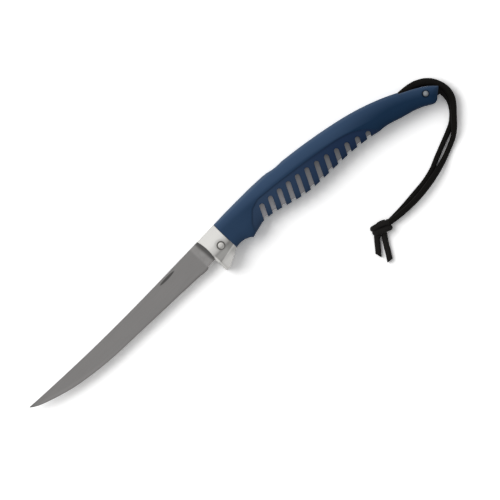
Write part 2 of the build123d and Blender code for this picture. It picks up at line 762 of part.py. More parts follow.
with BuildPart() as lanyard_tail_long:
    add(cord_tube("lanyard_tail_long", long_tail_points))
lanyard_tail_long.part.label = "lanyard_tail_long"
export_step(lanyard_tail_long.part, "parts/lanyard_tail_long.step")

# The knot's outer shape
knot_place = Location((lanyard_x + knot_from_pin_x, lanyard_y + knot_from_pin_y, knot_height / 2), (0, 0, knot_angle))
knot_stretch = (1, knot_width / knot_length, knot_height / knot_length)
with BuildPart() as lanyard_knot:
    knot_ball = scale(Sphere(knot_length / 2, mode=Mode.PRIVATE), by=knot_stretch, mode=Mode.PRIVATE)
    add(knot_ball.moved(knot_place))
lanyard_knot.part.label = "lanyard_knot"
export_step(lanyard_knot.part, "parts/lanyard_knot.step")
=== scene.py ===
"""A folding fillet knife with a cord lanyard, laid open on a pale table.

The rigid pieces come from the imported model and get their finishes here. The lanyard is made here
as braided cord: a bight round its pin, two legs, a knot and two cut tails.
"""

from __future__ import annotations

import json
import logging
import math
from dataclasses import dataclass, field
from enum import Enum
from typing import Any, Sequence

import bpy
import numpy as np
from mathutils import Matrix, Vector


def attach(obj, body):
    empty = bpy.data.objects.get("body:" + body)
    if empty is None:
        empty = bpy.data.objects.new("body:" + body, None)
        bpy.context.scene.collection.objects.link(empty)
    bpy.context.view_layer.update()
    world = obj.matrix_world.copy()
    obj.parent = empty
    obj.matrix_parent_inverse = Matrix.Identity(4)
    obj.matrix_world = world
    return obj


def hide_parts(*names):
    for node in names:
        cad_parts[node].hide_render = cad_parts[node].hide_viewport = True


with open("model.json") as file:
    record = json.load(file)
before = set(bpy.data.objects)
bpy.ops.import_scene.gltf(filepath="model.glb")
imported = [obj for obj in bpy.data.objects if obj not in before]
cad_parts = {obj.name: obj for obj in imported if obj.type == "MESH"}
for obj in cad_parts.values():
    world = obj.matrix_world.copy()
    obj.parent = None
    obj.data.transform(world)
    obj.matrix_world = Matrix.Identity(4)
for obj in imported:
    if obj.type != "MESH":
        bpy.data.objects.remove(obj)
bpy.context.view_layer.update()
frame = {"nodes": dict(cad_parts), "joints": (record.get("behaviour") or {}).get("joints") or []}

MM = 0.001
FOLD = "blade_fold"
Colour = tuple[float, float, float]
Point = tuple[float, float, float]

log = logging.getLogger("fillet_knife")


def joint_place(name: str) -> Vector:
    """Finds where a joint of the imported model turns.

    Args:
        name: The joint's name in the record.

    Returns:
        A point on its axis, in metres.
    """
    joint = next(j for j in frame["joints"] if j["name"] == name)
    return Vector(joint["pos_m"])


class Side(Enum):
    """Which face of the handle a piece is on: near the viewer, or far, on the table."""

    NEAR = "near"
    FAR = "far"


class Grain(Enum):
    """The way the polishing marks of a metal run, as stretch factors along X, Y and Z."""

    ALONG = (0.02, 1.0, 1.0)
    ACROSS = (1.0, 0.03, 1.0)
    EVEN = (1.0, 1.0, 1.0)


class Wire:
    """A node socket that takes part in ordinary sums."""

    def __init__(self, nodes: "Nodes", socket: bpy.types.NodeSocket) -> None:
        """Keeps the socket and the tree that it belongs to."""
        self.nodes = nodes
        self.socket = socket

    def _sum(self, operation: str, left: "Number", right: "Number") -> "Wire":
        """Adds one Math node."""
        return self.nodes.math(operation, left, right)

    def __add__(self, other: "Number") -> "Wire":
        """self + other."""
        return self._sum("ADD", self, other)

    def __radd__(self, other: "Number") -> "Wire":
        """other + self."""
        return self._sum("ADD", other, self)

    def __sub__(self, other: "Number") -> "Wire":
        """self - other."""
        return self._sum("SUBTRACT", self, other)

    def __rsub__(self, other: "Number") -> "Wire":
        """other - self."""
        return self._sum("SUBTRACT", other, self)

    def __mul__(self, other: "Number") -> "Wire":
        """self * other."""
        return self._sum("MULTIPLY", self, other)

    def __truediv__(self, other: "Number") -> "Wire":
        """self / other."""
        return self._sum("DIVIDE", self, other)


Number = float | Wire


class Nodes:
    """Makes the nodes of one tree, for a material, the world or a mesh."""

    def __init__(self, tree: bpy.types.NodeTree) -> None:
        """Keeps the tree."""
        self.tree = tree

    def add(self, kind: str, settings: dict[str, Any] | None = None, **inputs: Any) -> bpy.types.Node:
        """Adds one node.

        Args:
            kind: The node's type.
            settings: Its own settings, set first. A ramp's stops go under "stops".
            inputs: Values or wires by socket identifier, with _ for a space.

        Returns:
            The node.
        """
        node = self.tree.nodes.new(kind)
        for name, value in (settings or {}).items():
            if name == "stops":
                self._set_stops(node.color_ramp, value)
            else:
                setattr(node, name, value)
        sockets = {s.identifier.replace(" ", "_"): s for s in node.inputs}
        for name, value in inputs.items():
            self.feed(sockets[name], value)
        return node

    @staticmethod
    def _set_stops(ramp: bpy.types.ColorRamp, stops: Sequence[tuple[float, Colour]]) -> None:
        """Gives a ramp its stops, each a place and a colour."""
        while len(ramp.elements) < len(stops):
            ramp.elements.new(1.0)
        for element, (place, colour) in zip(ramp.elements, stops):
            element.position = place
            element.color = (*colour, 1.0)

    def feed(self, socket: bpy.types.NodeSocket, value: Any) -> None:
        """Sets a socket's value, or links a wire to it."""
        if isinstance(value, Wire):
            self.tree.links.new(value.socket, socket)
        else:
            if socket.type == "RGBA" and len(value) == 3:
                value = (*value, 1.0)
            socket.default_value = value

    def out(self, node: bpy.types.Node, name: str | int = 0) -> Wire:
        """Wraps a node's output, by its place or its name."""
        return Wire(self, node.outputs[name])

    def math(self, operation: str, left: Number, right: Number = 0.0) -> Wire:
        """Adds a Math node and returns its result."""
        node = self.add("ShaderNodeMath", {"operation": operation}, Value=left, Value_001=right)
        return self.out(node)

    def vector(self, operation: str, left: Any, right: Any) -> Wire:
        """Adds a Vector Math node on two vectors and returns its first result."""
        node = self.add("ShaderNodeVectorMath", {"operation": operation}, Vector=left, Vector_001=right)
        return self.out(node, "Value" if operation in ("DOT_PRODUCT", "DISTANCE", "LENGTH") else "Vector")

    def combined(self, x: Number, y: Number, z: Number) -> Wire:
        """Puts a vector together from its three parts."""
        return self.out(self.add("ShaderNodeCombineXYZ", None, X=x, Y=y, Z=z))

    def fade(self, value: Number, start: float, end: float) -> Wire:
        """Rises smoothly from 0 to 1 as value goes from start to end."""
        node = self.add(
            "ShaderNodeMapRange",
            {"interpolation_type": "SMOOTHSTEP"},
            Value=value,
            From_Min=start,
            From_Max=end,
        )
        return self.out(node)

    def mix(self, factor: Number, first: Any, second: Any, blend: str = "MIX") -> Wire:
        """Mixes two colours.

        Args:
            factor: 0 gives the first colour, 1 the second.
            first: A colour or a wire.
            second: A colour or a wire.
            blend: The way they mix.

        Returns:
            The mixed colour.
        """
        settings = {"data_type": "RGBA", "blend_type": blend, "clamp_factor": True}
        node = self.add("ShaderNodeMix", settings, Factor_Float=factor, A_Color=first, B_Color=second)
        return Wire(self, next(s for s in node.outputs if s.identifier == "Result_Color"))

    def place(self, stretch: Point = (1.0, 1.0, 1.0), centre: Point = (0.0, 0.0, 0.0)) -> Wire:
        """Gives Object coordinates, centred and stretched.

        Args:
            stretch: The factor of each axis.
            centre: The point, in metres, that becomes the pattern's origin.

        Returns:
            The coordinates.
        """
        here = self.out(self.add("ShaderNodeTexCoord"), "Object")
        centred = self.vector("SUBTRACT", here, centre)
        return self.vector("MULTIPLY", centred, stretch)

    def noise(self, vector: Wire, size: float, detail: float = 2.0, rough: float = 0.5) -> Wire:
        """Gives a noise pattern from 0 to 1 whose spots are about size metres across."""
        sizes = {"Scale": 1.0 / size, "Detail": detail, "Roughness": rough}
        return self.out(self.add("ShaderNodeTexNoise", None, Vector=vector, **sizes))

    def axis(self, vector: Wire, name: str) -> Wire:
        """Gives one of a vector's parts, X, Y or Z."""
        return self.out(self.add("ShaderNodeSeparateXYZ", None, Vector=vector), name)

    def near(self, spot: Point, inner: float, outer: float, stretch: Point = (1.0, 1.0, 0.0)) -> Wire:
        """Gives 1 round an upright axis through a spot, falling to 0 between two radii in metres.

        Args:
            spot: The place of the axis, from the blade's pivot.
            inner: The radius up to which the mask is full.
            outer: The radius where it ends.
            stretch: Factors of X and Y, above 1 where the spot is narrow.

        Returns:
            The mask.
        """
        pivot = joint_place(FOLD)
        around = self.place(stretch, (pivot.x + spot[0], pivot.y + spot[1], 0.0))
        return 1.0 - self.fade(self.vector("LENGTH", around, (0.0, 0.0, 0.0)), inner, outer)

    def from_pivot(self) -> tuple[Wire, Wire]:
        """Gives X and Y counted from the blade's pivot, in metres."""
        pivot = joint_place(FOLD)
        here = self.place(centre=(pivot.x, pivot.y, 0.0))
        return self.axis(here, "X"), self.axis(here, "Y")

    def graded(self, tone: Wire, start: float, end: float, first: Colour, last: Colour) -> Wire:
        """Changes a colour gradually along X.

        Args:
            tone: The colour.
            start: Where the change starts, in metres from the blade's pivot.
            end: Where it ends.
            first: The factors of the colour's three parts before the start.
            last: The factors beyond the end.

        Returns:
            The graded colour.
        """
        along, _ = self.from_pivot()
        return self.mix(1.0, tone, self.mix(self.fade(along, start, end), first, last), "MULTIPLY")

    def bump(self, height: Wire, depth: float) -> Wire:
        """Turns a height from 0 to 1 into a normal, for relief of depth metres."""
        return self.out(self.add("ShaderNodeBump", None, Height=height, Distance=depth))


def new_material(name: str) -> tuple[bpy.types.Material, Nodes]:
    """Makes a material whose tree is empty.

    Args:
        name: The material's name.

    Returns:
        The material and the maker of its nodes.
    """
    material = bpy.data.materials.new(name)
    material.use_nodes = True
    material.node_tree.nodes.clear()
    return material, Nodes(material.node_tree)


@dataclass(frozen=True)
class Finish:
    """What every finish has: a name and a main colour."""

    name: str
    colour: Colour

    def surface(self, nodes: Nodes) -> dict[str, Any]:
        """Gives the values and wires of the shader's sockets."""
        return {"Base_Color": self.colour}

    def material(self) -> bpy.types.Material:
        """Makes the material.

        Returns:
            A material with one shader, fed by the finish.
        """
        material, nodes = new_material(self.name)
        shader = nodes.add("ShaderNodeBsdfPrincipled", None, **self.surface(nodes))
        nodes.add("ShaderNodeOutputMaterial", None, Surface=nodes.out(shader))
        return material

    def shaded(self, factor: float) -> Colour:
        """Gives the main colour, lighter or darker by a factor, with no part above 1."""
        return tuple(min(1.0, part * factor) for part in self.colour)


@dataclass(frozen=True)
class GroundSteel(Finish):
    """Steel with fine grinding marks."""

    grain: Grain = Grain.ALONG
    mark_width: float = 0.35 * MM
    depth: float = 0.004 * MM
    roughness: float = 0.36
    polish: float = 0.06
    mark_roughness: float = 0.08
    cloud_roughness: float = 0.05
    contrast: float = 0.16
    cloud_size: float = 20.0 * MM
    cloud_strength: float = 0.5
    cloud_shade: float = 0.9

    def darkened(self, nodes: Nodes, tone: Wire) -> Wire:
        """Gives the colour with the marks of this piece's own place."""
        return tone

    def surface(self, nodes: Nodes) -> dict[str, Any]:
        """Adds streaks along the grain, slow clouding and faint relief.

        Args:
            nodes: The maker of the material's nodes.

        Returns:
            The values and wires of the shader's sockets.
        """
        marks = nodes.noise(nodes.place(self.grain.value), self.mark_width, detail=3.0, rough=0.6)
        cloud = nodes.noise(nodes.place(), self.cloud_size)
        tone = nodes.mix(marks, self.shaded(1 - self.contrast), self.shaded(1 + self.contrast))
        clouded = nodes.mix(cloud * self.cloud_strength, tone, self.shaded(self.cloud_shade))
        rougher = marks * self.mark_roughness + cloud * self.cloud_roughness
        return {
            "Base_Color": self.darkened(nodes, clouded),
            "Metallic": 1.0,
            "Roughness": self.roughness - self.polish + rougher,
            "Normal": nodes.bump(marks, self.depth),
        }


@dataclass(frozen=True)
class BladeSteel(GroundSteel):
    """Blade steel, with painted shade in the nail nick and a painted shadow band beside the bolster."""

    nick_at: Point = (-43.0 * MM, 11.5 * MM, 0.0)
    nick_half: float = 7.9 * MM
    nick_full_share: float = 0.8
    nick_slimness: float = 7.5
    nick_shade: float = 0.22
    band_from: float = -10.4 * MM
    band_to: float = -12.9 * MM
    band_lean: float = 0.06
    band_shade: float = 0.3
    # Strength of the painted shade in the nick and of the painted shadow band
    painted_shade: float = 0.8
    ricasso_at: float = -17.5 * MM
    ricasso_soft: float = 1.0 * MM
    ricasso_cloud: float = 4.0 * MM
    ricasso_shade: float = 1.4
    edge_thickness: float = 0.3 * MM
    edge_full_share: float = 0.7
    edge_shine: float = 0.2
    edge_shade: float = 1.5

    def darkened(self, nodes: Nodes, tone: Wire) -> Wire:
        """Paints shade in the nick and a shadow band beside the bolster, and brightens the sharpened edge
        and the ricasso.

        Args:
            nodes: The maker of the material's nodes.
            tone: The plain ground colour.

        Returns:
            The marked colour.
        """
        along, across = nodes.from_pivot()
        start, end = self.ricasso_at - self.ricasso_soft, self.ricasso_at + self.ricasso_soft
        ricasso = nodes.fade(along, start, end)
        cloud = nodes.noise(nodes.place(), self.ricasso_cloud, detail=3.0, rough=0.6)
        clouded = nodes.mix(ricasso * cloud, tone, self.shaded(self.ricasso_shade))
        height = nodes.axis(nodes.place(centre=tuple(joint_place(FOLD))), "Z")
        full = self.edge_thickness * self.edge_full_share
        edge = 1.0 - nodes.fade(nodes.math("ABSOLUTE", height), full, self.edge_thickness)
        sharpened = nodes.mix(edge * self.edge_shine, clouded, self.shaded(self.edge_shade))
        slim = (1.0, self.nick_slimness, 0.0)
        # Painted shade in the nail nick's recess
        nick = nodes.near(self.nick_at, self.nick_full_share * self.nick_half, self.nick_half, slim)
        nick_shaded = nodes.mix(nick * self.painted_shade, sharpened, self.shaded(self.nick_shade))
        # Painted shadow of the bolster, in a band beside its front edge
        band = nodes.fade(along + across * self.band_lean, self.band_to, self.band_from)
        return nodes.mix(band * self.painted_shade, nick_shaded, self.shaded(self.band_shade))


@dataclass(frozen=True)
class BolsterSteel(GroundSteel):
    """Bright steel with painted shade in the ring round the pivot's head, a painted shadow above it, and
    painted shade on the face towards the guard.
    """

    # Painted shade in the ring round the pivot's head, and a painted shadow above it
    ring_inner: float = 3.0 * MM
    ring_outer: float = 3.35 * MM
    ring_painted_shade: float = 0.95
    ring_shade: float = 0.13
    halo_at: Point = (0.0, 0.7 * MM, 0.0)
    halo_outer: float = 5.0 * MM
    halo_painted_shadow: float = 0.35
    halo_shade: float = 0.35
    # Painted shade in the face's lower rear corner
    corner_x: tuple[float, float] = (-1.0 * MM, 4.5 * MM)
    corner_y: tuple[float, float] = (4.0 * MM, -2.0 * MM)
    corner_painted_shade: float = 0.28
    # The painted shade runs across the face from here towards the guard
    painted_shade_from: float = 7.0 * MM
    painted_shade_to: float = -11.0 * MM
    # Places on the way down the face towards the guard, with the share of the brightness that the painted
    # shade leaves there
    painted_shade_stops: tuple[tuple[float, float], ...] = (
        (0.0, 1.0), (0.13, 0.95), (0.22, 0.83), (0.28, 0.79), (0.39, 0.69), (0.45, 0.60),
        (0.50, 0.55), (0.61, 0.80), (0.75, 0.80), (0.83, 0.60), (0.97, 0.73),
    )

    def darkened(self, nodes: Nodes, tone: Wire) -> Wire:
        """Paints shade on the face towards the guard and in its lower rear corner, a shadow above the
        pivot's head and shade in the recess round it.

        Args:
            nodes: The maker of the material's nodes.
            tone: The plain colour.

        Returns:
            The marked colour.
        """
        along, across = nodes.from_pivot()
        # Painted shade down the face towards the guard
        place = (self.painted_shade_from - across) / (self.painted_shade_from - self.painted_shade_to)
        stops = [(at, (share, share, share)) for at, share in self.painted_shade_stops]
        ramp = nodes.add("ShaderNodeValToRGB", {"stops": stops}, Fac=place)
        face_shaded = nodes.mix(1.0, tone, nodes.out(ramp), "MULTIPLY")
        # Painted shade in the lower rear corner
        corner = nodes.fade(along, *self.corner_x) * nodes.fade(across, *self.corner_y)
        cornered = nodes.mix(corner * self.corner_painted_shade, face_shaded, (0.0, 0.0, 0.0))
        # Painted shadow above the pivot's head
        halo = nodes.near(self.halo_at, self.ring_inner, self.halo_outer)
        ringed = nodes.mix(halo * self.halo_painted_shadow, cornered, self.shaded(self.halo_shade))
        # Painted shade in the recess round the pivot's head
        ring = nodes.near((0.0, 0.0, 0.0), self.ring_inner, self.ring_outer)
        return nodes.mix(ring * self.ring_painted_shade, ringed, self.shaded(self.ring_shade))


@dataclass(frozen=True)
class HeadSteel(GroundSteel):
    """Steel of a domed rivet head at the pivot, with a painted highlight towards its rim."""

    rim_inner: float = 0.9 * MM
    rim_outer: float = 2.2 * MM
    rim_highlight: float = 1.8

    def darkened(self, nodes: Nodes, tone: Wire) -> Wire:
        """Paints the dome's rim brighter than its crown, as a painted highlight.

        Args:
            nodes: The maker of the material's nodes.
            tone: The plain colour.

        Returns:
            The marked colour.
        """
        # Painted highlight on the dome's rim, outside the crown
        crown = nodes.near((0.0, 0.0, 0.0), self.rim_inner, self.rim_outer)
        return nodes.mix(crown, self.shaded(self.rim_highlight), tone)


@dataclass(frozen=True)
class LinerSteel(GroundSteel):
    """Blasted steel that is darker towards the butt."""

    bright_at: float = 36.0 * MM
    dull_at: float = 100.0 * MM
    bright: Colour = (1.50, 1.52, 1.64)
    dull: Colour = (0.90, 0.93, 1.00)

    def darkened(self, nodes: Nodes, tone: Wire) -> Wire:
        """Darkens the liner towards the butt."""
        return nodes.graded(tone, self.bright_at, self.dull_at, self.bright, self.dull)


@dataclass(frozen=True)
class MouldedPlastic(Finish):
    """Moulded plastic with a fine sparked texture."""

    texture_size: float = 0.4 * MM
    depth: float = 0.025 * MM
    roughness: float = 0.5
    polish: float = 0.05
    texture_roughness: float = 0.12
    shine: float = 0.25
    contrast: float = 0.12
    cloud_size: float = 12.0 * MM
    cloud_strength: float = 0.4
    cloud_shade: float = 0.85

    def toned(self, nodes: Nodes, tone: Wire) -> Wire:
        """Gives the colour with the wear of this piece's own place."""
        return tone

    def surface(self, nodes: Nodes) -> dict[str, Any]:
        """Adds the texture of the mould and slow changes of tone.

        Args:
            nodes: The maker of the material's nodes.

        Returns:
            The values and wires of the shader's sockets.
        """
        place = nodes.place()
        texture = nodes.noise(place, self.texture_size, detail=3.0, rough=0.65)
        cloud = nodes.noise(place, self.cloud_size, detail=3.0)
        tone = nodes.mix(texture, self.shaded(1 - self.contrast), self.shaded(1 + self.contrast))
        clouded = nodes.mix(cloud * self.cloud_strength, tone, self.shaded(self.cloud_shade))
        return {
            "Base_Color": self.toned(nodes, clouded),
            "Roughness": self.roughness - self.polish + texture * self.texture_roughness,
            "Specular_IOR_Level": self.shine,
            "Normal": nodes.bump(texture, self.depth),
        }


@dataclass(frozen=True)
class PaintedLightNylon(MouldedPlastic):
    """Nylon with painted light along the handle's spine and painted shade towards its belly and butt."""

    # Painted light: the colour of the lit spine side, and of the highlight on its rounded edge
    painted_lit: Colour = (0.041, 0.0755, 0.142)
    painted_edge_highlight: Colour = (0.085, 0.125, 0.190)
    # The handle's spine from the pivot, as the factors of a cubic of X, in metres
    spine_line: tuple[float, ...] = (-8.884, 0.5944, -0.0461, 0.0143)
    front_x: tuple[float, float] = (65.0 * MM, 15.0 * MM)
    middle_x: tuple[float, float] = (55.0 * MM, 85.0 * MM)
    rear_x: tuple[float, float] = (100.0 * MM, 165.0 * MM)
    # How much painted light is at the spine, and how much less with each millimetre below it
    spine_light: float = 1.13
    rear_loss: float = 0.45
    fall: float = 0.044
    front_fall: float = 0.052
    rear_fall: float = 0.038
    front_least: float = 0.44
    # Depth of the grip's seam below the spine at the pivot, in millimetres, and its growth along X; the
    # nylon gets painted shade towards the seam
    seam_depth: float = 6.6
    seam_slope: float = 58.0
    seam_reach: tuple[float, float] = (3.0, 0.6)
    seam_loss: float = 0.34
    # Width of the painted highlight along the spine's rounded edge, in millimetres
    highlight_start: float = 0.2
    highlight_width: float = 2.4
    highlight_middle: float = 1.8
    rub: float = 0.7
    highlight_rear_loss: float = 0.55
    # Painted shade in the recess round the lanyard pin's head
    ring_at: Point = (176.9 * MM, -30.2 * MM, 0.0)
    ring_inner: float = 2.0 * MM
    ring_outer: float = 3.1 * MM
    ring_painted_shade: float = 0.9
    ring_shade_colour: Colour = (0.002, 0.004, 0.008)

    def toned(self, nodes: Nodes, tone: Wire) -> Wire:
        """Paints light along the spine, a highlight on its rounded edge and shade towards the seam, belly
        and butt, and paints shade in the recess of the lanyard pin's head.

        Args:
            nodes: The maker of the material's nodes.
            tone: The dark colour with its texture.

        Returns:
            The toned colour.
        """
        along, across = nodes.from_pivot()
        height: Number = self.spine_line[0]
        for factor in self.spine_line[1:]:
            height = along * height + factor
        depth = (height - across) / MM
        front, middle, rear = (nodes.fade(along, *x) for x in (self.front_x, self.middle_x, self.rear_x))
        above, at_seam = (self.seam_depth - reach for reach in self.seam_reach)
        seam = nodes.fade(depth - along * self.seam_slope, above, at_seam)
        fall = self.fall + front * self.front_fall + rear * self.rear_fall
        # Painted light at the spine, falling to painted shade below it, towards the seam and towards the
        # butt
        light = self.spine_light - rear * self.rear_loss - depth * fall
        light = light - seam * (1.0 - front) * self.seam_loss
        light = nodes.math("MAXIMUM", light, front * self.front_least)
        painted_lit = nodes.mix(nodes.math("MINIMUM", light, 1.0), tone, self.painted_lit)
        # Painted highlight along the spine's rounded edge
        highlight_end = self.highlight_width + middle * (1.0 - rear) * self.highlight_middle
        painted_paler = 1.0 - nodes.fade(depth, self.highlight_start, highlight_end)
        worn = nodes.mix(painted_paler * (self.rub - rear * self.highlight_rear_loss), painted_lit, self.painted_edge_highlight)
        # Painted shade in the recess round the lanyard pin's head
        ring = nodes.near(self.ring_at, self.ring_inner, self.ring_outer)
        return nodes.mix(ring * self.ring_painted_shade, worn, self.ring_shade_colour)


@dataclass(frozen=True)
class GradedRubber(MouldedPlastic):
    """Soft rubber that is paler towards the bolster and darker towards the butt."""

    pale_at: float = 42.0 * MM
    dark_at: float = 118.0 * MM
    pale: Colour = (1.28, 1.36, 1.24)
    dark: Colour = (0.62, 0.76, 0.86)

    def toned(self, nodes: Nodes, tone: Wire) -> Wire:
        """Pales the grip towards its front."""
        return nodes.graded(tone, self.pale_at, self.dark_at, self.pale, self.dark)


@dataclass(frozen=True)
class BraidedCord(Finish):
    """Braided nylon, with painted shade in the gaps between its yarns."""

    gap_shade: float = 0.35
    yarn_shade: float = 1.25
    fibre_shade: float = 1.6
    fibre_size: float = 0.12 * MM
    fibre_depth: float = 0.03 * MM
    fibre_roughness: float = 0.15
    roughness: float = 0.62
    shine: float = 0.12

    def surface(self, nodes: Nodes) -> dict[str, Any]:
        """Follows the relief that the cord's mesh carries.

        Args:
            nodes: The maker of the material's nodes.

        Returns:
            The values and wires of the shader's sockets.
        """
        relief = nodes.out(nodes.add("ShaderNodeAttribute", {"attribute_name": Braid.RELIEF}), "Fac")
        fibre = nodes.noise(nodes.place(), self.fibre_size, rough=0.6)
        # Painted shade in the gaps between the yarns, lighter on their tops
        tone = nodes.mix(relief, self.shaded(self.gap_shade), self.shaded(self.yarn_shade))
        return {
            "Base_Color": nodes.mix(fibre, tone, self.shaded(self.fibre_shade)),
            "Roughness": self.roughness + fibre * self.fibre_roughness,
            "Specular_IOR_Level": self.shine,
            "Normal": nodes.bump(fibre, self.fibre_depth),
        }


class Braid:
    """The mesh tree that turns a line into a braided tube."""

    RELIEF = "relief"
    ALONG = "along"
    AROUND = "around"
    CENTRE = "centre"
    WIDE = "wide"
    # The share of the yarns' height that lies on the tube's own surface
    FLUSH = 0.6

    def __init__(self) -> None:
        """Builds the tree, with named inputs for its sizes."""
        self.tree = bpy.data.node_groups.new("braided tube", "GeometryNodeTree")
        self.sockets = {"Geometry": self._socket("Geometry", "Geometry")}
        for name in ("Radius", "Step", "Yarn pitch", "Relief", "Lay"):
            self.sockets[name] = self._socket(name, "Float")
        for name in ("Sides", "Yarns"):
            self.sockets[name] = self._socket(name, "Int")
        self.sockets["Material"] = self._socket("Material", "Material")
        self.tree.interface.new_socket("Geometry", in_out="OUTPUT", socket_type="NodeSocketGeometry")
        self._build(Nodes(self.tree))

    def _socket(self, name: str, kind: str) -> str:
        """Adds a named input and returns its identifier."""
        item = self.tree.interface.new_socket(name, in_out="INPUT", socket_type="NodeSocket" + kind)
        return item.identifier

    def _stored(self, nodes: Nodes, shape: Wire, name: str, value: Wire, kind: str = "FLOAT") -> Wire:
        """Stores a value on each point of a shape, under a name."""
        settings = {"data_type": kind, "domain": "POINT"}
        node = nodes.add("GeometryNodeStoreNamedAttribute", settings, Geometry=shape, Name=name, Value=value)
        return nodes.out(node)

    def _read(self, nodes: Nodes, name: str, kind: str = "FLOAT") -> Wire:
        """Reads a stored value."""
        return nodes.out(nodes.add("GeometryNodeInputNamedAttribute", {"data_type": kind}, Name=name))

    def _build(self, nodes: Nodes) -> None:
        """Adds the nodes: line to curve, sweep, raised yarns, finish."""
        given = nodes.add("NodeGroupInput")
        spline = nodes.add("GeometryNodeSplineParameter")
        line = nodes.add("GeometryNodeMeshToCurve", None, Mesh=nodes.out(given, "Geometry"))
        even = nodes.add(
            "GeometryNodeResampleCurve",
            {"mode": "LENGTH"},
            Curve=nodes.out(line),
            Length=nodes.out(given, "Step"),
        )
        measured = self._stored(nodes, nodes.out(even), self.ALONG, nodes.out(spline, "Length"))
        here = nodes.out(nodes.add("GeometryNodeInputPosition"))
        main = self._stored(nodes, measured, self.CENTRE, here, "FLOAT_VECTOR")
        circle = nodes.add(
            "GeometryNodeCurvePrimitiveCircle",
            None,
            Resolution=nodes.out(given, "Sides"),
            Radius=nodes.out(given, "Radius"),
        )
        turn = nodes.out(spline, "Index") / nodes.out(given, "Sides") * math.tau
        profile = self._stored(nodes, nodes.out(circle), self.AROUND, turn)
        swept = nodes.add("GeometryNodeCurveToMesh", None, Curve=main, Profile_Curve=profile, Fill_Caps=True)
        smooth = nodes.add("GeometryNodeSetShadeSmooth", None, Geometry=nodes.out(swept))

        climb = self._read(nodes, self.ALONG) / nodes.out(given, "Yarn pitch") * math.tau
        wind = self._read(nodes, self.AROUND) * nodes.out(given, "Yarns")
        right = nodes.math("COSINE", wind + climb)
        left = nodes.math("COSINE", wind - climb)
        height = 0.5 + right * left * 0.5
        carried = self._stored(nodes, nodes.out(smooth), self.RELIEF, height)
        normal = nodes.out(nodes.add("GeometryNodeInputNormal"))
        lift = (self._read(nodes, self.RELIEF) - self.FLUSH) * nodes.out(given, "Relief")
        offset = nodes.add("ShaderNodeVectorMath", {"operation": "SCALE"}, Vector=normal, Scale=lift)
        raised = nodes.add("GeometryNodeSetPosition", None, Geometry=carried, Offset=nodes.out(offset))
        wide = self._read(nodes, self.WIDE)
        centre = self._read(nodes, self.CENTRE, "FLOAT_VECTOR")
        arm = nodes.vector("SUBTRACT", here, centre)
        flat = nodes.vector("MULTIPLY", arm, nodes.combined(wide, wide, nodes.out(given, "Lay")))
        laid = nodes.add(
            "GeometryNodeSetPosition",
            None,
            Geometry=nodes.out(raised),
            Position=nodes.vector("ADD", centre, flat),
        )
        whole = nodes.add("GeometryNodeRealizeInstances", None, Geometry=nodes.out(laid))
        finished = nodes.add(
            "GeometryNodeSetMaterial",
            None,
            Geometry=nodes.out(whole),
            Material=nodes.out(given, "Material"),
        )
        result = nodes.add("NodeGroupOutput")
        nodes.feed(result.inputs[0], nodes.out(finished))

    def grow(
        self, name: str, points: Sequence[Vector], widths: Sequence[float], values: dict[str, Any]
    ) -> bpy.types.Mesh:
        """Makes the braided tube along a line.

        Args:
            name: The new mesh's name.
            points: The line's points, in order.
            widths: The tube's width along it, as shares of its diameter, spaced evenly.
            values: The tree's inputs by name.

        Returns:
            A plain mesh.
        """
        line = bpy.data.meshes.new(name + "_line")
        line.from_pydata(points, [(i, i + 1) for i in range(len(points) - 1)], [])
        spaced = np.interp(np.linspace(0, len(widths) - 1, len(points)), np.arange(len(widths)), widths)
        line.attributes.new(self.WIDE, "FLOAT", "POINT").data.foreach_set("value", spaced)
        holder = bpy.data.objects.new(name + "_line", line)
        bpy.context.scene.collection.objects.link(holder)
        modifier = holder.modifiers.new("braid", "NODES")
        modifier.node_group = self.tree
        for label, value in values.items():
            modifier[self.sockets[label]] = value
        evaluated = holder.evaluated_get(bpy.context.evaluated_depsgraph_get())
        mesh = bpy.data.meshes.new_from_object(evaluated)
        mesh.name = name
        bpy.data.objects.remove(holder)
        bpy.data.meshes.remove(line)
        return mesh


def route_line(route: Sequence[Point], steps: int = 24) -> list[Vector]:
    """Follows a route with a smooth spline.

    Args:
        route: The spline's control points, in metres.
        steps: Points made for each span.

    Returns:
        The points of the smooth line.
    """
    curve = bpy.data.curves.new("route", "CURVE")
    curve.dimensions = "3D"
    curve.resolution_u = steps
    spline = curve.splines.new("NURBS")
    spline.points.add(len(route) - 1)
    for place, point in zip(spline.points, route):
        place.co = (*point, 1.0)
    spline.order_u = 3
    spline.use_endpoint_u = True
    holder = bpy.data.objects.new("route", curve)
    bpy.context.scene.collection.objects.link(holder)
    mesh = bpy.data.meshes.new_from_object(holder.evaluated_get(bpy.context.evaluated_depsgraph_get()))
    points = [v.co.copy() for v in mesh.vertices]
    bpy.data.objects.remove(holder)
    bpy.data.curves.remove(curve)
    bpy.data.meshes.remove(mesh)
    return points


def add_piece(name: str, mesh: bpy.types.Mesh, body: str) -> bpy.types.Object:
    """Puts a finished mesh in the scene as a piece of the object.

    Args:
        name: The piece's name.
        mesh: Its mesh, in place.
        body: The body that it moves with.

    Returns:
        The new object.
    """
    piece = bpy.data.objects.new(name, mesh)
    bpy.context.scene.collection.objects.link(piece)
    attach(piece, body)
    log.info("%s: %d faces on %s", name, len(mesh.polygons), body)
    return piece


@dataclass
class Dressed:
    """A sub-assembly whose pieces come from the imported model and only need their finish."""

    nodes: Sequence[str]
    finish: Finish

    def dress(self) -> None:
        """Gives each piece the finish."""
        material = self.finish.material()
        for name in self.nodes:
            slots = frame["nodes"][name].material_slots
            for place in slots:
                place.material = material
            log.info("%s: %s", name, self.finish.name)


